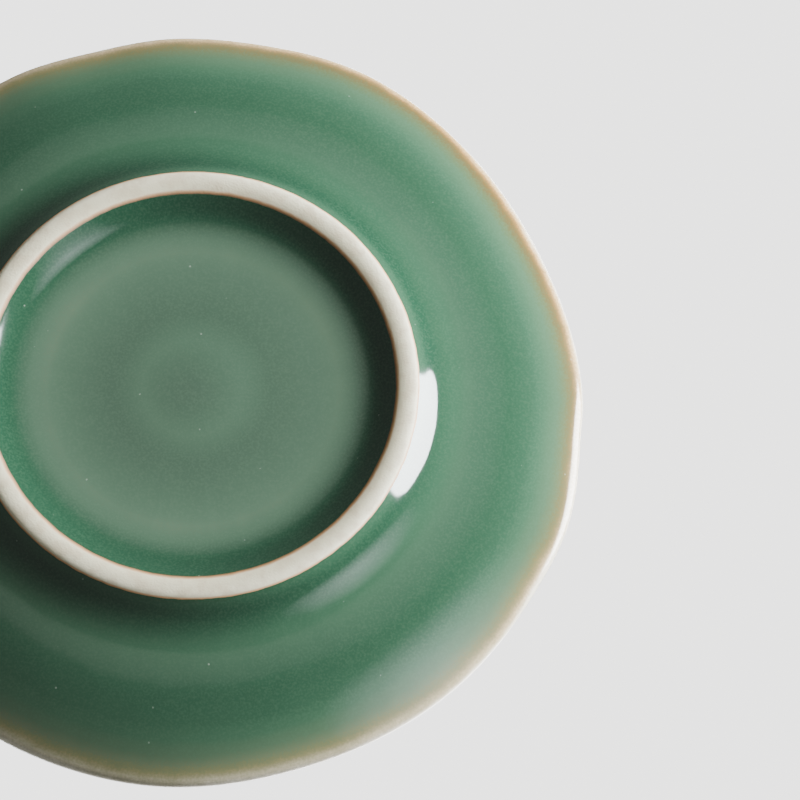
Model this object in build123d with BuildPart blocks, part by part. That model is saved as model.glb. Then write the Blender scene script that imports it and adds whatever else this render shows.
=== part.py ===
"""Gaiwan: a lidded tea bowl standing on its saucer, in celadon-glazed porcelain.

Three fired pieces that only rest on one another: the saucer, the bowl in the saucer's well and the
lid inside the bowl's flared mouth. The foot rings and the lid's ring knob are turned from the same
clay as the piece they belong to, so they are part of it.

Millimetres, +Z up. The origin is the centre of the saucer's foot ring, on the plane it stands on.
"""
from build123d import *
import os
from math import cos, hypot, radians, sin

# ---------------------------------------------------------------- driving dimensions
RIM_RADIUS = 59.0          # saucer, mean radius of the rim
FOOT_OUTER = 33.7          # saucer's foot ring, at the ground
FOOT_INNER = 30.4
FOOT_HEIGHT = 3.9          # ground to the root of the foot ring, outside
RECESS_HEIGHT = 2.9        # ground to the underside inside the foot ring
LIP_LOW = 9.2              # saucer's lip, lower and upper edge
LIP_HIGH = 11.2
WELL_RADIUS = 25.5         # flat well that takes the bowl's foot
WELL_FLOOR = 6.1
WELL_STEP = 0.8

REST_GAP = 0.1             # left between two pieces that rest on each other

BOWL_BASE = WELL_FLOOR + REST_GAP
BOWL_FOOT_OUTER = 23.4
BOWL_FOOT_INNER = 20.4
BOWL_FOOT_HEIGHT = 4.8
BOWL_HEIGHT = 48.4         # foot to lip
MOUTH_RADIUS = 45.0        # mean radius of the flared lip
BOWL_FLOOR = 3.4           # thickness of the clay under the tea
BOWL_WALL = 2.3
LIP_WALL = 2.7             # height of the flared lip's trimmed edge

LID_RADIUS = 39.8
LID_EDGE = 46.4            # height of the lid's edge above the ground
LID_CROWN = 61.6           # outside of the dome at the root of the knob
LID_WALL = 2.3
KNOB_ROOT = 14.2
KNOB_RADIUS = 17.4
KNOB_TOP = 72.6
KNOB_WALL = 2.6
KNOB_DEPTH = 7.4

TRIM_MARGIN = 3.0          # how far a turned wall runs past the outline that trims it
LIP_ROUND = 0.7            # rounding of both edges of a trimmed lip
FOOT_ROUND = 0.5           # rounding beside the bare standing face of a foot ring

# Hand-shaped rim: direction in degrees, and radius as a share of the mean radius. Corners and
# flats come in turn all the way round.
RIM_OUTLINE = [
    (18, 0.985), (38, 0.999), (58, 1.016), (71, 1.005), (82, 1.010), (95, 1.006), (112, 1.011),
    (132, 0.989), (152, 0.976), (175, 0.991), (182, 0.988), (195, 1.002), (207, 0.996),
    (225, 1.000), (250, 0.998), (270, 1.009), (286, 1.007), (303, 1.003), (320, 1.006),
    (338, 0.994), (358, 0.990),
]
MOUTH_SHARE = 0.6          # the bowl's mouth has the same outline, less marked


def rim_points(mean_radius, share):
    """Points of the hand-shaped rim, with its corners and flats at a share of their full depth."""
    points = []
    for angle, factor in RIM_OUTLINE:
        radius = mean_radius * (1 + (factor - 1) * share)
        points.append((radius * cos(radians(angle)), radius * sin(radians(angle))))
    return points


def lip_edges(piece, mean_radius):
    """The long edges that the trimming outline leaves round a rim."""
    def is_lip(edge):
        middle = edge @ 0.5
        return edge.length > TRIM_MARGIN and hypot(middle.X, middle.Y) > 0.95 * mean_radius
    return piece.edges().filter_by(is_lip)


# ---------------------------------------------------------------- saucer
saucer_reach = RIM_RADIUS + TRIM_MARGIN

with BuildPart() as saucer:
    with BuildSketch(Plane.XZ) as saucer_section:
        with BuildLine():
            # underside inside the foot ring, a little domed, then down the ring's inner side
            recess = Spline((0, RECESS_HEIGHT - 0.3), (12, RECESS_HEIGHT), (24, RECESS_HEIGHT - 0.1),
                            tangents=[(1, 0), (1, -0.05)])
            inner_side = Spline(recess @ 1, (FOOT_INNER - 1.1, 1.3), (FOOT_INNER, FOOT_ROUND),
                                tangents=[(1, -0.05), (0.6, -1)])
            Polyline(inner_side @ 1, (FOOT_INNER + FOOT_ROUND, 0), (FOOT_OUTER - FOOT_ROUND, 0),
                     (FOOT_OUTER, FOOT_ROUND))
            # the ring's outer side sweeps into the spreading underside
            outer_side = Spline((FOOT_OUTER, FOOT_ROUND), (FOOT_OUTER + 0.9, 2.4),
                                (FOOT_OUTER + 4.2, FOOT_HEIGHT), tangents=[(0.3, 1), (1, 0.12)])
            underside = Spline(outer_side @ 1, (RIM_RADIUS * 0.75, 4.7), (RIM_RADIUS * 0.88, 6.5),
                               (RIM_RADIUS, LIP_LOW), (saucer_reach, LIP_LOW + 1.1),
                               tangents=[(1, 0.12), (1, 0.36)])
            Line(underside @ 1, (saucer_reach, LIP_HIGH + 1.1))
            # upper side, back to the well and the axis
            upper_side = Spline((saucer_reach, LIP_HIGH + 1.1), (RIM_RADIUS, LIP_HIGH),
                                (RIM_RADIUS * 0.8, 8.0),
                                (WELL_RADIUS + 6, WELL_FLOOR + WELL_STEP + 0.4),
                                (WELL_RADIUS + 1.2, WELL_FLOOR + WELL_STEP))
            Polyline(upper_side @ 1, (WELL_RADIUS, WELL_FLOOR), (0, WELL_FLOOR), recess @ 0)
        make_face()
    revolve(axis=Axis.Z)
    with BuildSketch(Plane.XY) as saucer_outline:
        with BuildLine():
            Spline(*rim_points(RIM_RADIUS, 1), periodic=True)
        make_face()
    extrude(amount=LIP_HIGH + TRIM_MARGIN, mode=Mode.INTERSECT)
    fillet(lip_edges(saucer, RIM_RADIUS), radius=LIP_ROUND)
saucer.part.label = "saucer"

# ---------------------------------------------------------------- bowl
bowl_lip = BOWL_BASE + BOWL_HEIGHT
bowl_root = BOWL_BASE + BOWL_FOOT_HEIGHT
bowl_recess = bowl_root - 1.0
tea_floor = bowl_recess + BOWL_FLOOR
mouth_reach = MOUTH_RADIUS + TRIM_MARGIN

with BuildPart() as bowl:
    with BuildSketch(Plane.XZ) as bowl_section:
        with BuildLine():
            # underside inside the foot ring
            bowl_under = Line((0, bowl_recess), (BOWL_FOOT_INNER - 1.8, bowl_recess))
            bowl_inner = Spline(bowl_under @ 1, (BOWL_FOOT_INNER - 0.5, bowl_recess - 1.2),
                                (BOWL_FOOT_INNER, BOWL_BASE + FOOT_ROUND),
                                tangents=[(1, 0), (0.1, -1)])
            Polyline(bowl_inner @ 1, (BOWL_FOOT_INNER + FOOT_ROUND, BOWL_BASE),
                     (BOWL_FOOT_OUTER - FOOT_ROUND, BOWL_BASE),
                     (BOWL_FOOT_OUTER, BOWL_BASE + FOOT_ROUND), (BOWL_FOOT_OUTER - 0.6, bowl_root))
            # belly and flared mouth, outside
            belly = Spline((BOWL_FOOT_OUTER - 0.6, bowl_root), (32.6, bowl_root + 6.6),
                           (38.9, bowl_root + 19), (MOUTH_RADIUS - 3.8, bowl_root + 31.5),
                           (MOUTH_RADIUS - 1.7, bowl_lip - 4.1), (MOUTH_RADIUS, bowl_lip - 1.6),
                           (mouth_reach, bowl_lip + 1.2), tangents=[(1, 0.25), (1, 0.9)])
            mouth_edge = Line(belly @ 1, (mouth_reach, bowl_lip + 1.2 + LIP_WALL))
            # inside wall, parallel to the belly, down to the tea's floor
            inside = Spline(mouth_edge @ 1, (MOUTH_RADIUS - 1.5, bowl_lip - 0.3),
                            (MOUTH_RADIUS - 3.5, bowl_lip - 3.3), (MOUTH_RADIUS - 5.9, bowl_root + 32),
                            (38.9 - BOWL_WALL, bowl_root + 19.8), (31.1, bowl_root + 9),
                            (19, tea_floor + 0.5), (0, tea_floor), tangents=[(-1, -0.9), (-1, 0)])
            Line(inside @ 1, bowl_under @ 0)
        make_face()
    revolve(axis=Axis.Z)
    with BuildSketch(Plane.XY) as bowl_outline:
        with BuildLine():
            Spline(*rim_points(MOUTH_RADIUS, MOUTH_SHARE), periodic=True)
        make_face()
    extrude(amount=bowl_lip + 2 * TRIM_MARGIN, mode=Mode.INTERSECT)
    fillet(lip_edges(bowl, MOUTH_RADIUS), radius=LIP_ROUND)
bowl.part.label = "bowl"

# ---------------------------------------------------------------- lid
with BuildPart() as lid:
    with BuildSketch(Plane.XZ) as lid_section:
        with BuildLine():
            # dome, outside, from the edge up to the knob's root
            dome = Spline((LID_RADIUS, LID_EDGE + 0.8), (33.5, 53.2), (24.5, 58.6),
                          (KNOB_ROOT + 1.2, LID_CROWN))
            # ring knob: flared outside, rounded top, hollow inside
            knob_outer = Spline(dome @ 1, (KNOB_ROOT, LID_CROWN + 2.4),
                                (KNOB_RADIUS - 1.2, KNOB_TOP - 3.5), (KNOB_RADIUS, KNOB_TOP - 0.8),
                                tangents=[(-1, 0.25), (0.25, 1)])
            knob_lip = ThreePointArc(knob_outer @ 1, (KNOB_RADIUS - 0.5 * KNOB_WALL + 0.2, KNOB_TOP),
                                     (KNOB_RADIUS - KNOB_WALL + 0.4, KNOB_TOP - 0.8))
            Spline(knob_lip @ 1, (KNOB_ROOT - 0.9, KNOB_TOP - 4), (KNOB_ROOT - 3.4, KNOB_TOP - 6.8),
                   (0, KNOB_TOP - KNOB_DEPTH), tangents=[(-0.25, -1), (-1, 0)])
            # inside of the dome, back to the edge
            crown_under = LID_CROWN - LID_WALL + 1.0
            Line((0, KNOB_TOP - KNOB_DEPTH), (0, crown_under))
            ceiling = Spline((0, crown_under), (15, crown_under - 1.6), (23.5, 56.5), (32.2, 51.2),
                             (LID_RADIUS - 1.7, LID_EDGE + 0.3), tangents=[(1, 0), (1, -0.95)])
            ThreePointArc(ceiling @ 1, (LID_RADIUS - 0.6, LID_EDGE), dome @ 0)
        make_face()
    revolve(axis=Axis.Z)
lid.part.label = "lid"

# ---------------------------------------------------------------- files
os.makedirs("parts", exist_ok=True)
export_step(saucer.part, "parts/saucer.step")
export_step(bowl.part, "parts/bowl.step")
export_step(lid.part, "parts/lid.step")

print("bowl clears the saucer by", round(bowl.part.distance_to(saucer.part), 3), "mm")
print("lid clears the bowl by", round(lid.part.distance_to(bowl.part), 3), "mm")
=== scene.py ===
"""Looks of the gaiwan: three glazed pieces turned as meshes, one celadon glaze with its bare clay,
a pale floor, soft studio lights, and a camera that looks up at the underside of the saucer.

Profiles are in millimetres, in the frame's own axes, and become metres when they are turned.
"""
import math

import bmesh
import bpy
import numpy as np
from mathutils import Matrix, Vector


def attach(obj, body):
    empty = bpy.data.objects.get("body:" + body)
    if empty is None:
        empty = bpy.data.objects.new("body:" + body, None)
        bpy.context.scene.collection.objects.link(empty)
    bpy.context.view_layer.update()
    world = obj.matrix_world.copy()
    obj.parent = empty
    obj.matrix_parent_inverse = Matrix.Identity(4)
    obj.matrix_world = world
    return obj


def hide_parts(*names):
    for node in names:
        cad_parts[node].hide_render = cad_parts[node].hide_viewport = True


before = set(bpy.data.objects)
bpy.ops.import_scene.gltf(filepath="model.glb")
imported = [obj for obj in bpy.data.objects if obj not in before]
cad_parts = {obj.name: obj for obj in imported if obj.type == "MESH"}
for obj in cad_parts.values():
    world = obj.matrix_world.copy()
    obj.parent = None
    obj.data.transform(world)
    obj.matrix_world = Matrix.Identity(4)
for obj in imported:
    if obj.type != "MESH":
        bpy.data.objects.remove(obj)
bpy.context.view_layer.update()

MM = 0.001
RIM_RADIUS = 59.0          # saucer, mean radius of the rim, as in the CAD
MOUTH_RADIUS = 45.0        # bowl, mean radius of the lip
TURN_STEPS = 96            # facets of the turned cage, before it is subdivided
SMOOTH_LEVELS = 2
MERGE_GAP = 0.01           # mm; vertices of the turned cage closer than this become one
FLAME_SIDE = math.radians(138)      # direction in which the lips burned most in the kiln

# Hand-shaped rim: direction in degrees, and radius as a share of the mean radius.
RIM_OUTLINE = [
    (18, 0.985), (38, 0.999), (58, 1.016), (71, 1.005), (82, 1.010), (95, 1.006), (112, 1.011),
    (132, 0.989), (152, 0.976), (175, 0.991), (182, 0.988), (195, 1.002), (207, 0.996),
    (225, 1.000), (250, 0.998), (270, 1.009), (286, 1.007), (303, 1.003), (320, 1.006),
    (338, 0.994), (358, 0.990),
]

# ---------------------------------------------------------------- profiles
# Each point is radius, height and glaze depth: 0 is thin glaze over pale clay, 1 a dark pool.
SAUCER_PROFILE = [
    (0, 2.55, .80), (3, 2.58, .71), (7.5, 2.72, .50), (12, 2.85, .74), (15, 2.90, .64),
    (18, 2.92, .52), (22, 2.90, .36), (24, 2.82, .44), (26, 2.62, .74), (27.6, 2.1, .90),
    (28.8, 1.40, .92), (29.7, .84, .9), (30.3, .44, .9), (30.8, .21, .9), (31.4, .06, .9),
    (32.1, 0, .9), (32.8, .05, .9), (33.35, .2, .9), (33.72, .5, .56), (34.4, 1.05, .62),
    (35.2, 1.68, .88), (36.2, 2.36, .87), (37.4, 2.97, .72), (39.2, 3.64, .50), (41, 4.07, .45),
    (44, 4.55, .57), (47.5, 5.25, .69), (51, 6.2, .58),
    (54.2, 7.4, .49), (56.8, 8.48, .38), (58.45, 9.2, .36), (59.0, 9.7, .3),
    (59.13, 10.4, .3), (58.8, 10.98, .3), (58.0, 11.12, .3), (56.6, 10.75, .38),
    (53, 9.5, .5), (47, 8.1, .64), (41, 7.5, .66), (35, 7.3, .6), (30, 7.1, .52),
    (27.3, 6.95, .42), (26.3, 6.75, .5), (25.6, 6.25, .9), (24.8, 6.08, .85), (22, 6.06, .62),
    (12, 6.06, .56), (0, 6.06, .6),
]
SAUCER_FOOT = (30.15, 33.72)      # radii between which the saucer's foot is bare
SAUCER_LIP = 32                   # profile point on the crest of the lip

BOWL_PROFILE = [
    (0, 10.0, .6), (8, 10.0, .5), (15, 10.0, .5), (18.2, 9.85, .8), (19.6, 9.0, 1), (20.1, 7.8, .9),
    (20.35, 6.75, .9), (20.7, 6.28, .9), (21.2, 6.2, .9), (22.6, 6.2, .9), (23.1, 6.28, .9),
    (23.4, 6.75, .9), (23.35, 8, .9), (23.05, 9.6, .95), (23.3, 10.8, 1), (25, 11.8, .9),
    (28.5, 13.55, .74), (32.6, 17.5, .66), (36.2, 23, .66), (38.9, 30, .62), (40.4, 36.8, .62),
    (41.25, 42.5, .64), (42.15, 47, .66), (43.4, 50.6, .56), (44.4, 52.3, .42), (45.1, 53.4, .34),
    (45.45, 54.2, .3), (45.2, 55.0, .3), (44.5, 55.25, .3), (43.7, 54.7, .34), (42.6, 53.1, .46),
    (41.3, 50.6, .6), (40.15, 47, .64), (39.1, 43, .62), (38.1, 37, .6), (36.5, 30.5, .6),
    (33.8, 24.2, .6), (30.2, 19.4, .62), (25.8, 16.2, .66), (20, 14.2, .76), (14, 13.55, .8),
    (7, 13.4, .78), (0, 13.4, .78),
]
BOWL_FOOT = (20.4, 23.42)
BOWL_LIP = 27

LID_PROFILE = [
    (0, 60.3, .6), (8, 59.95, .6), (15, 59.0, .58), (19, 58.0, .58), (23.5, 56.4, .6),
    (28, 54.0, .62), (32.2, 51.2, .62), (35.4, 48.8, .6), (37.3, 47.15, .5), (38.1, 46.52, .4),
    (38.9, 46.36, .34), (39.55, 46.55, .3), (39.8, 47.05, .3), (39.6, 47.6, .34), (38.2, 49.1, .42),
    (35.5, 51.55, .54), (33.5, 53.2, .6), (29.5, 56.0, .64), (24.5, 58.6, .66), (20, 60.25, .68),
    (16.8, 61.2, .78), (15.1, 61.75, .92), (14.4, 62.5, 1), (14.15, 63.5, .95), (14.35, 65.2, .8),
    (15.15, 67.4, .66), (16.25, 69.3, .56), (17.0, 70.9, .46), (17.42, 71.9, .6), (17.2, 72.4, .9),
    (16.7, 72.6, .9), (16.0, 72.6, .9), (15.4, 72.4, .9), (15.05, 71.8, .6), (14.3, 70.2, .5),
    (12.7, 68, .6), (10.7, 66.1, .84), (8, 65.1, .9), (4, 65.05, .66), (0, 65.2, .6),
]
LID_FOOT = (15.35, 17.3)
LID_LIP = 11

FEET_BELOW = 7             # the bare feet of the saucer and the bowl stand lower than this
KNOB_ABOVE = 72            # and the bare rim of the lid's knob higher than this
FOOT_MARGIN = 2            # mm along the profile, beside a bare foot, that still count as near it
FAR_FROM_FOOT = -5         # the distance that is marked anywhere else
DEPTH_STEP = 0.2           # mm between the samples that smooth the glaze's depth
DEPTH_BLUR = 9             # and how many of them are blended


def rim_factor(angle):
    """Radius of the hand-shaped rim in a direction, as a share of the mean, smooth all round."""
    stops = [(a - 360, f) for a, f in RIM_OUTLINE[-2:]] + RIM_OUTLINE
    stops += [(a + 360, f) for a, f in RIM_OUTLINE[:3]]
    place = np.searchsorted([a for a, _ in stops], angle, side="right") - 1
    (a0, f0), (a1, f1), (a2, f2), (a3, f3) = stops[place - 1:place + 3]
    t = (angle - a1) / (a2 - a1)
    slope1 = (f2 - f0) / (a2 - a0) * (a2 - a1)
    slope2 = (f3 - f1) / (a3 - a1) * (a2 - a1)
    return ((2 * t**3 - 3 * t**2 + 1) * f1 + (t**3 - 2 * t**2 + t) * slope1
            + (3 * t**2 - 2 * t**3) * f2 + (t**3 - t**2) * slope2)


def eased(value, low, high):
    """0 below low, 1 above high, and a smooth rise between them."""
    t = np.clip((value - low) / (high - low), 0, 1)
    return t * t * (3 - 2 * t)


def turned(name, profile):
    """A closed piece turned from its profile, each vertex marked with its run along the profile."""
    mesh_data = bpy.data.meshes.new(name)
    bm = bmesh.new()
    run_layer = bm.verts.layers.float.new("run")
    run = 0.0
    last = None
    for radius, height, _ in profile:
        vert = bm.verts.new((radius * MM, 0, height * MM))
        if last is not None:
            run += (vert.co - last.co).length / MM
            bm.edges.new((last, vert))
        vert[run_layer] = run
        last = vert
    bmesh.ops.spin(bm, geom=bm.verts[:] + bm.edges[:], cent=(0, 0, 0), axis=(0, 0, 1),
                   angle=math.tau, steps=TURN_STEPS, use_merge=True)
    bmesh.ops.remove_doubles(bm, verts=bm.verts[:], dist=MERGE_GAP * MM)
    bmesh.ops.recalc_face_normals(bm, faces=bm.faces[:])
    bm.to_mesh(mesh_data)
    bm.free()
    piece = bpy.data.objects.new(name, mesh_data)
    bpy.context.collection.objects.link(piece)
    smooth = piece.modifiers.new("smooth", "SUBSURF")
    smooth.levels = smooth.render_levels = SMOOTH_LEVELS
    evaluated = piece.evaluated_get(bpy.context.evaluated_depsgraph_get())
    piece.data = bpy.data.meshes.new_from_object(evaluated)
    piece.data.name = name
    piece.modifiers.clear()
    piece.data.shade_smooth()
    return piece


def runs(profile):
    """Distance along the profile of each of its points, in mm."""
    points = np.array([p[:2] for p in profile])
    return np.concatenate([[0], np.cumsum(np.hypot(*np.diff(points, axis=0).T))])


def mark(piece, profile, foot, lip):
    """Marks each vertex with the glaze's depth, its distance from the lip, how much the kiln burned
    it, and how far it is inside the two edges of the bare foot."""
    mesh = piece.data
    run = np.empty(len(mesh.vertices), dtype=np.float32)
    mesh.attributes["run"].data.foreach_get("value", run)
    at = runs(profile)
    fine = np.arange(0, at[-1], DEPTH_STEP)
    kernel = np.hanning(DEPTH_BLUR) / np.hanning(DEPTH_BLUR).sum()
    depth = np.interp(fine, at, [point[2] for point in profile])
    depth = np.convolve(np.pad(depth, DEPTH_BLUR // 2, mode="edge"), kernel, mode="valid")
    radii = np.array([math.hypot(vert.co.x, vert.co.y) for vert in mesh.vertices]) / MM
    around = np.array([math.atan2(vert.co.y, vert.co.x) for vert in mesh.vertices])
    first, last = foot_runs(profile, at, foot)
    near = (run > first - FOOT_MARGIN) & (run < last + FOOT_MARGIN)
    marks = {
        "depth": np.interp(run, fine, depth),
        "lip": np.abs(run - at[lip]),
        "burn": (0.5 + 0.5 * np.cos(around - FLAME_SIDE)) ** 2,
        "from_inner": np.where(near, radii - foot[0], FAR_FROM_FOOT),
        "from_outer": np.where(near, foot[1] - radii, FAR_FROM_FOOT),
    }
    for label, values in marks.items():
        layer = mesh.attributes.new(label, "FLOAT", "POINT")
        layer.data.foreach_set("value", values.astype(np.float32))


def foot_runs(profile, at, foot):
    """Runs at which the profile enters and leaves the bare standing face of the foot."""
    faces = [run for run, (radius, height, _) in zip(at, profile)
             if foot[0] < radius < foot[1] and (height < FEET_BELOW or height > KNOB_ABOVE)]
    return faces[0], faces[-1]


def shape_rim(piece, start, mean_radius, share):
    """Moves the wall outside a starting radius in and out, so that the rim gets its soft corners."""
    for vert in piece.data.vertices:
        radius = math.hypot(vert.co.x, vert.co.y) / MM
        if radius <= start:
            continue
        angle = math.degrees(math.atan2(vert.co.y, vert.co.x)) % 360
        weight = eased(radius, start, mean_radius)
        factor = 1 + (rim_factor(angle) - 1) * share * weight
        vert.co.x *= factor
        vert.co.y *= factor


# ---------------------------------------------------------------- materials
class Nodes:
    """Short way of adding and linking shader nodes."""

    def __init__(self, material):
        material.use_nodes = True
        self.tree = material.node_tree
        self.tree.nodes.clear()

    def add(self, kind, inputs=None, **settings):
        node = self.tree.nodes.new(kind)
        for key, value in settings.items():
            setattr(node, key, value)
        for key, value in (inputs or {}).items():
            if isinstance(value, bpy.types.NodeSocket):
                self.tree.links.new(value, node.inputs[key])
            else:
                node.inputs[key].default_value = value
        return node

    def math(self, operation, first, second=0.0):
        return self.add("ShaderNodeMath", {0: first, 1: second}, operation=operation).outputs[0]

    def times(self, first, second):
        return self.math("MULTIPLY", first, second)

    def sum(self, first, *others):
        for other in others:
            first = self.math("ADD", first, other)
        return first

    def flattened(self, place):
        return self.add("ShaderNodeVectorMath", {0: place, 1: (1, 1, 0)}, operation="MULTIPLY").outputs[0]

    def rise(self, value, low, high):
        """0 below low and 1 above high, eased between."""
        return self.add("ShaderNodeMapRange", {"Value": value, "From Min": low, "From Max": high},
                        interpolation_type="SMOOTHSTEP").outputs["Result"]

    def fall(self, value, low, high):
        return self.math("SUBTRACT", 1.0, self.rise(value, low, high))

    def noise(self, place, scale, detail):
        inputs = {"Vector": place, "Scale": scale, "Detail": detail}
        return self.add("ShaderNodeTexNoise", inputs).outputs["Fac"]

    def drift(self, place, scale, detail):
        """Noise that swings evenly about 0."""
        return self.math("SUBTRACT", self.noise(place, scale, detail), 0.5)

    def mix(self, factor, first, second):
        return self.add("ShaderNodeMix", {0: factor, 6: first, 7: second}, data_type="RGBA").outputs[2]

    def mix_value(self, factor, first, second):
        return self.add("ShaderNodeMix", {0: factor, 2: first, 3: second}, data_type="FLOAT").outputs[0]

    def ramp(self, value, stops):
        node = self.add("ShaderNodeValToRGB", {"Fac": value})
        elements = node.color_ramp.elements
        elements[0].position, elements[-1].position = stops[0][0], stops[-1][0]
        elements[0].color, elements[-1].color = (*stops[0][1], 1), (*stops[-1][1], 1)
        for position, colour in stops[1:-1]:
            elements.new(position).color = (*colour, 1)
        return node.outputs["Color"]

    def curve(self, value, points):
        node = self.add("ShaderNodeFloatCurve", {"Value": value})
        line = node.mapping.curves[0]
        line.points[0].location, line.points[1].location = points[0], points[-1]
        for point in points[1:-1]:
            line.points.new(*point)
        node.mapping.update()
        return node.outputs[0]

    def attribute(self, name):
        return self.add("ShaderNodeAttribute", attribute_name=name).outputs["Fac"]


GLAZE_STOPS = [
    (0.00, (0.920, 0.880, 0.770)),   # clear glaze over white clay
    (0.07, (0.640, 0.430, 0.200)),   # warm line where the glaze begins to take colour
    (0.10, (0.410, 0.240, 0.085)),
    (0.13, (0.240, 0.146, 0.048)),
    (0.16, (0.155, 0.108, 0.036)),
    (0.19, (0.120, 0.108, 0.044)),
    (0.23, (0.096, 0.134, 0.064)),
    (0.30, (0.064, 0.142, 0.083)),
    (0.40, (0.043, 0.119, 0.070)),
    (0.50, (0.033, 0.101, 0.060)),
    (0.70, (0.023, 0.081, 0.046)),
    (0.85, (0.013, 0.061, 0.034)),
    (1.00, (0.008, 0.047, 0.025)),
]
PALE_STOPS = [                       # the same glaze where the lip stayed unburnt
    (0.00, (0.920, 0.880, 0.770)),
    (0.07, (0.580, 0.550, 0.410)),
    (0.13, (0.340, 0.330, 0.200)),
    (0.16, (0.260, 0.255, 0.130)),
    (0.19, (0.185, 0.210, 0.108)),
    (0.23, (0.130, 0.180, 0.108)),
    (0.30, (0.075, 0.146, 0.088)),
    (0.40, (0.043, 0.119, 0.070)),
    (0.60, (0.027, 0.089, 0.051)),
    (1.00, (0.008, 0.047, 0.025)),
]
FOOT_STOPS = [
    (0.00, (0.09, 0.07, 0.03)),      # thin glaze running out over the foot's inner edge
    (0.22, (0.34, 0.17, 0.07)),
    (0.50, (0.56, 0.36, 0.19)),
    (0.80, (0.76, 0.68, 0.50)),
    (1.00, (0.76, 0.74, 0.55)),
]
FOOT_FADE = 0.75           # mm over which the foot's inner edge turns from brown to pale clay
CLAY_INNER = (0.76, 0.74, 0.55, 1)
# painted highlight: lighter clay for the foot's outer edge, standing in for the light its rounded crest
# catches
CLAY_PAINTED_HIGHLIGHT = (0.88, 0.86, 0.67, 1)
CLAY_STAIN = (0.60, 0.51, 0.36, 1)
IRON_LINE = (0.60, 0.27, 0.08, 1)
PALE_GRAIN = (0.16, 0.30, 0.19, 1)
PINHOLE = (0.40, 0.52, 0.44, 1)
GLAZE_ROUGHNESS = 0.07
LIP_ROUGHNESS = 0.16
CLAY_ROUGHNESS = 0.62
# Scales of the patterns, in repeats per metre, from streaks round the turn to the clay's grain.
STREAK_SCALE = 7
BROAD_SCALE = 45
PEEL_SCALE = 260
FINE_SCALE = 420
PINHOLE_SCALE = 420
PINHOLE_GROUP_SCALE = 700
GRAIN_SCALE = 2900
LIP_REACH = 12.0           # mm from the lip over which the glaze runs thin
# Distance from the lip, as a share of LIP_REACH, and the most glaze that stays there.
LIP_THINNING = [(0, 0), (0.05, 0), (0.085, 0.05), (0.125, 0.09), (0.17, 0.13), (0.20, 0.155),
                (0.24, 0.185), (0.30, 0.222), (0.40, 0.28), (0.56, 0.37), (0.70, 0.47), (0.85, 0.66),
                (1, 1)]


def glaze_thinning(n, broad, fine, grain):
    """The most glaze that stays beside the lip, with a slightly wandering line."""
    lip = n.sum(n.attribute("lip"), n.times(broad, 1.6), n.times(fine, 0.6))
    thin = n.curve(n.math("DIVIDE", lip, LIP_REACH), LIP_THINNING)
    return n.math("ADD", thin, n.times(grain, 0.06))


def glaze_colour(n, thin, broad, streaks, grain):
    """Colour by the glaze's depth, which drifts and mottles a little and runs thin at the lip."""
    mottle = n.sum(n.times(broad, 0.14), n.times(streaks, 0.07), n.times(grain, 0.17))
    depth = n.math("MINIMUM", n.math("ADD", n.attribute("depth"), mottle), thin)
    # the lip burns to ochre on one side only
    glaze = n.mix(n.attribute("burn"), n.ramp(depth, PALE_STOPS), n.ramp(depth, GLAZE_STOPS))
    return n.mix(n.times(n.rise(grain, -0.15, 0.25), 0.11), glaze, PALE_GRAIN)


def pinholed(n, glaze, place):
    """The glaze with tiny pale pinholes, only here and there."""
    holes = n.add("ShaderNodeTexVoronoi", {"Vector": place, "Scale": PINHOLE_SCALE})
    pin = n.fall(holes.outputs["Distance"], 0.03, 0.09)
    rare = n.rise(n.noise(place, PINHOLE_GROUP_SCALE, 0), 0.63, 0.69)
    return n.mix(n.times(n.times(pin, rare), 0.4), glaze, PINHOLE)


def bare_foot(n, broad, fine):
    """Where the foot is bare, and its clay: a crisp iron line outside, a wider brown one inside, and a
    painted highlight that makes the clay lighter towards the outer edge.
    """
    ragged = n.sum(n.times(fine, 0.22), n.times(broad, 0.22))
    inner = n.math("ADD", n.attribute("from_inner"), ragged)
    outer = n.math("ADD", n.attribute("from_outer"), ragged)
    is_bare = n.rise(n.math("MINIMUM", inner, outer), -0.04, 0.04)
    # painted highlight: the clay turns lighter towards the foot's outer edge, all the way round
    clay = n.mix(n.fall(outer, 0.5, 2.2), CLAY_INNER, CLAY_PAINTED_HIGHLIGHT)
    clay = n.mix(n.times(n.rise(fine, -0.08, 0.16), 0.45), clay, CLAY_STAIN)
    fade = n.math("DIVIDE", inner, FOOT_FADE)
    clay = n.mix(n.fall(fade, 0.7, 1.0), clay, n.ramp(fade, FOOT_STOPS))
    clay = n.mix(n.times(n.fall(outer, 0.05, 0.32), 0.85), clay, IRON_LINE)
    return is_bare, clay


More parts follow.
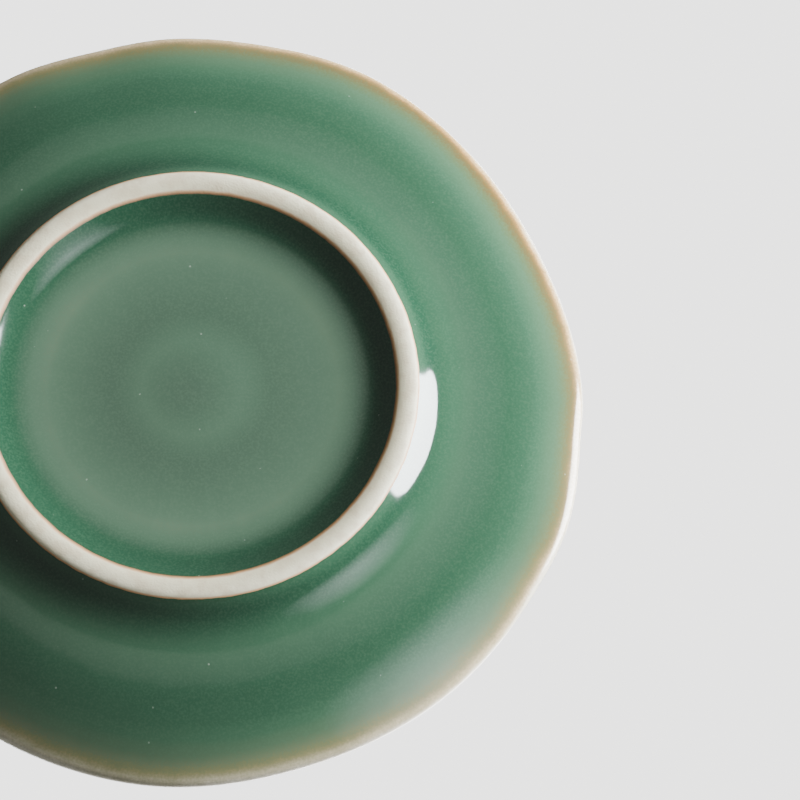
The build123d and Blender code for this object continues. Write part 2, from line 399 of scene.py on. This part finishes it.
def celadon(name, seed):
    """Glossy celadon: its colour follows the glaze's depth, thin on the lip and none on the foot."""
    material = bpy.data.materials.new(name)
    n = Nodes(material)
    place = n.add("ShaderNodeTexCoord").outputs["Object"]
    heading = n.add("ShaderNodeVectorMath", {0: n.flattened(place)}, operation="NORMALIZE").outputs[0]
    streaks = n.drift(heading, STREAK_SCALE, 3)
    place = n.add("ShaderNodeMapping", {"Vector": place, "Location": (seed, seed, seed)}).outputs[0]
    broad = n.drift(place, BROAD_SCALE, 2)
    fine = n.drift(place, FINE_SCALE, 3)
    grain = n.drift(place, GRAIN_SCALE, 3)

    thin = glaze_thinning(n, broad, fine, grain)
    glaze = pinholed(n, glaze_colour(n, thin, broad, streaks, grain), place)
    is_bare, clay = bare_foot(n, broad, fine)
    colour = n.mix(is_bare, glaze, clay)

    # surface: wet-looking glaze with a soft orange peel, dry grained clay
    height = n.mix_value(is_bare, n.times(n.noise(place, PEEL_SCALE, 1), 0.4), grain)
    bump = n.add("ShaderNodeBump", {"Height": height, "Strength": 0.15, "Distance": 0.0004})
    wetness = n.mix_value(n.fall(thin, 0.02, 0.16), GLAZE_ROUGHNESS, LIP_ROUGHNESS)
    shader = n.add("ShaderNodeBsdfPrincipled", {
        "Base Color": colour, "Roughness": n.mix_value(is_bare, wetness, CLAY_ROUGHNESS),
        "Normal": bump.outputs[0], "IOR": 1.52, "Specular IOR Level": 0.55})
    n.add("ShaderNodeOutputMaterial", {"Surface": shader.outputs[0]})
    return material


BACKDROP_GLOW = 2.9        # brightness of the backdrop, and of the floor where it meets it
FLOOR_FADE = (0.15, 1.3)   # metres from the middle over which the floor turns to backdrop
FLOOR_HALF = 3.0           # metres from the middle to the floor's edges


def floor_paint():
    """Plain pale floor that fades into the backdrop, and is clear from below so that it hides nothing."""
    material = bpy.data.materials.new("floor_paint")
    n = Nodes(material)
    paint = n.add("ShaderNodeBsdfDiffuse", {"Color": (0.72, 0.715, 0.70, 1)})
    far_glow = n.add("ShaderNodeEmission", {"Color": (1, 1, 0.99, 1), "Strength": BACKDROP_GLOW})
    place = n.add("ShaderNodeTexCoord").outputs["Object"]
    away = n.add("ShaderNodeVectorMath", {0: place}, operation="LENGTH").outputs["Value"]
    seamless = n.add("ShaderNodeMixShader", {
        0: n.rise(away, *FLOOR_FADE), 1: paint.outputs[0], 2: far_glow.outputs[0]})
    clear = n.add("ShaderNodeBsdfTransparent")
    behind = n.add("ShaderNodeNewGeometry").outputs["Backfacing"]
    one_way = n.add("ShaderNodeMixShader", {0: behind, 1: seamless.outputs[0], 2: clear.outputs[0]})
    n.add("ShaderNodeOutputMaterial", {"Surface": one_way.outputs[0]})
    return material


# ---------------------------------------------------------------- pieces
saucer = turned("saucer_glazed", SAUCER_PROFILE)
mark(saucer, SAUCER_PROFILE, SAUCER_FOOT, SAUCER_LIP)
shape_rim(saucer, 36, RIM_RADIUS, 1)

bowl = turned("bowl_glazed", BOWL_PROFILE)
mark(bowl, BOWL_PROFILE, BOWL_FOOT, BOWL_LIP)
shape_rim(bowl, 41, MOUTH_RADIUS, 0.6)

lid = turned("lid_glazed", LID_PROFILE)
mark(lid, LID_PROFILE, LID_FOOT, LID_LIP)

for seed, (piece, node) in enumerate(((saucer, "saucer"), (bowl, "bowl"), (lid, "lid"))):
    piece.data.materials.clear()
    piece.data.materials.append(celadon(node + "_celadon", seed + 1.0))
    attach(piece, node)
    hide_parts(node)

# ---------------------------------------------------------------- stage
bm = bmesh.new()
bmesh.ops.create_grid(bm, x_segments=1, y_segments=1, size=FLOOR_HALF)
floor_mesh = bpy.data.meshes.new("floor")
bm.to_mesh(floor_mesh)
bm.free()
floor = bpy.data.objects.new("floor", floor_mesh)
bpy.context.collection.objects.link(floor)
floor_mesh.materials.append(floor_paint())
floor.visible_shadow = floor.visible_glossy = floor.visible_diffuse = False

# ---------------------------------------------------------------- lamps
AIM = Vector((0, 0, 0.02))      # the lamps face the middle of the gaiwan


def softbox(name, place, width, height, power, colour=(1, 1, 1), receivers=None, seen_as=None,
            shape="RECTANGLE", spread=180):
    """A soft lamp that faces the gaiwan. It may light some pieces only, be seen only as a gloss
    ("gloss") or only shed light ("light"), and a narrow spread gives it a soft edge in a gloss."""
    data = bpy.data.lights.new(name, "AREA")
    data.shape = shape
    data.size, data.size_y = width, height
    data.energy = power
    data.color = colour
    data.spread = math.radians(spread)
    lamp = bpy.data.objects.new(name, data)
    lamp.location = place
    lamp.rotation_euler = (AIM - Vector(place)).to_track_quat("-Z", "Y").to_euler()
    lamp.visible_camera = False
    lamp.visible_diffuse = seen_as != "gloss"
    lamp.visible_glossy = seen_as != "light"
    bpy.context.collection.objects.link(lamp)
    if receivers:
        group = bpy.data.collections.new(name + "_lights")
        for piece in receivers:
            group.objects.link(piece)
        lamp.light_linking.receiver_collection = group


def below(azimuth, elevation, distance):
    """A place under the table: azimuth 0 is to the camera's right and 90 to its top."""
    side, drop = math.radians(azimuth), math.radians(elevation)
    across = Vector((-math.cos(side), math.sin(side), 0))
    return distance * (math.cos(drop) * across - math.sin(drop) * Vector((0, 0, 1)))


softbox("key_above", (-0.42, -0.38, 1.0), 0.8, 0.8, 30.0, (1, 0.975, 0.94))
softbox("fill_above", (0.6, -0.2, 0.85), 0.7, 0.7, 12.0, (0.95, 0.98, 1))
softbox("back_above", (0.05, 0.6, 0.95), 0.9, 0.5, 14.0)
for azimuth in (30, 150, 270):
    side = math.radians(azimuth)
    softbox("side_fill", (0.8 * math.cos(side), 0.8 * math.sin(side), 0.35), 0.8, 0.8, 8.0,
            (1, 1, 0.98), [bowl, lid], "light")
softbox("floor_glow", (0, 0, -0.002), 1.6, 1.6, 6.0, (1, 1, 0.98), [bowl, lid], "gloss")
softbox("key_below", below(19, 14, 0.6), 0.40, 0.36, 23.5, (1, 0.985, 0.94), [saucer], "light")
softbox("window", below(9, 16, 0.6), 0.38, 0.36, 27.0, (0.92, 0.97, 1), [saucer], "gloss", "ELLIPSE")
softbox("haze_below", below(90, 70, 0.9), 0.95, 0.95, 0.27, (1, 0.98, 0.9), [saucer], "gloss",
        "DISK", spread=60)
softbox("sheen_below", below(-24, 53, 1.6), 0.95, 0.95, 0.33, (0.92, 0.98, 1), [saucer], "gloss",
        "DISK", spread=34)

world = bpy.data.worlds.new("studio")
bpy.context.scene.world = world
world.use_nodes = True
tree = world.node_tree
tree.nodes.clear()


def glow(colour, strength):
    node = tree.nodes.new("ShaderNodeBackground")
    node.inputs[0].default_value = (*colour, 1)
    node.inputs[1].default_value = strength
    return node.outputs[0]


def choose(factor, first, second):
    """The second shader where the factor is 1, else the first."""
    node = tree.nodes.new("ShaderNodeMixShader")
    for socket, link in zip(node.inputs, (factor, first, second)):
        tree.links.new(link, socket)
    return node.outputs[0]


path = tree.nodes.new("ShaderNodeLightPath").outputs
around = choose(path["Is Glossy Ray"], glow((1, 1, 0.9), 0.18), glow((1, 1, 0.96), 0.32))
around = choose(path["Is Camera Ray"], around, glow((1, 1, 0.99), BACKDROP_GLOW))
tree.links.new(around, tree.nodes.new("ShaderNodeOutputWorld").inputs[0])

# ---------------------------------------------------------------- camera
# It looks up from under the table at the foot ring, a little off the saucer's axis.
CAMERA_TILT = math.radians(19.76)
CAMERA_ROLL = math.radians(3.61)
CAMERA_DISTANCE = 15 * RIM_RADIUS * MM
CAMERA_LENS = 265.5
RIM_HEIGHT = 10.2
target = Vector((-0.524 * RIM_RADIUS, 0.048 * RIM_RADIUS, RIM_HEIGHT)) * MM
forward = Vector((0, math.sin(CAMERA_TILT), math.cos(CAMERA_TILT)))
level = Vector((-1, 0, 0))
steep = Vector((0, math.cos(CAMERA_TILT), -math.sin(CAMERA_TILT)))
right = math.cos(CAMERA_ROLL) * level + math.sin(CAMERA_ROLL) * steep
up = -math.sin(CAMERA_ROLL) * level + math.cos(CAMERA_ROLL) * steep
camera_data = bpy.data.cameras.new("camera")
camera_data.sensor_width = 36.0
camera_data.lens = CAMERA_LENS
camera = bpy.data.objects.new("camera", camera_data)
turn = Matrix((right, up, -forward)).transposed()
camera.matrix_world = Matrix.Translation(target - forward * CAMERA_DISTANCE) @ turn.to_4x4()
bpy.context.collection.objects.link(camera)
bpy.context.scene.camera = camera
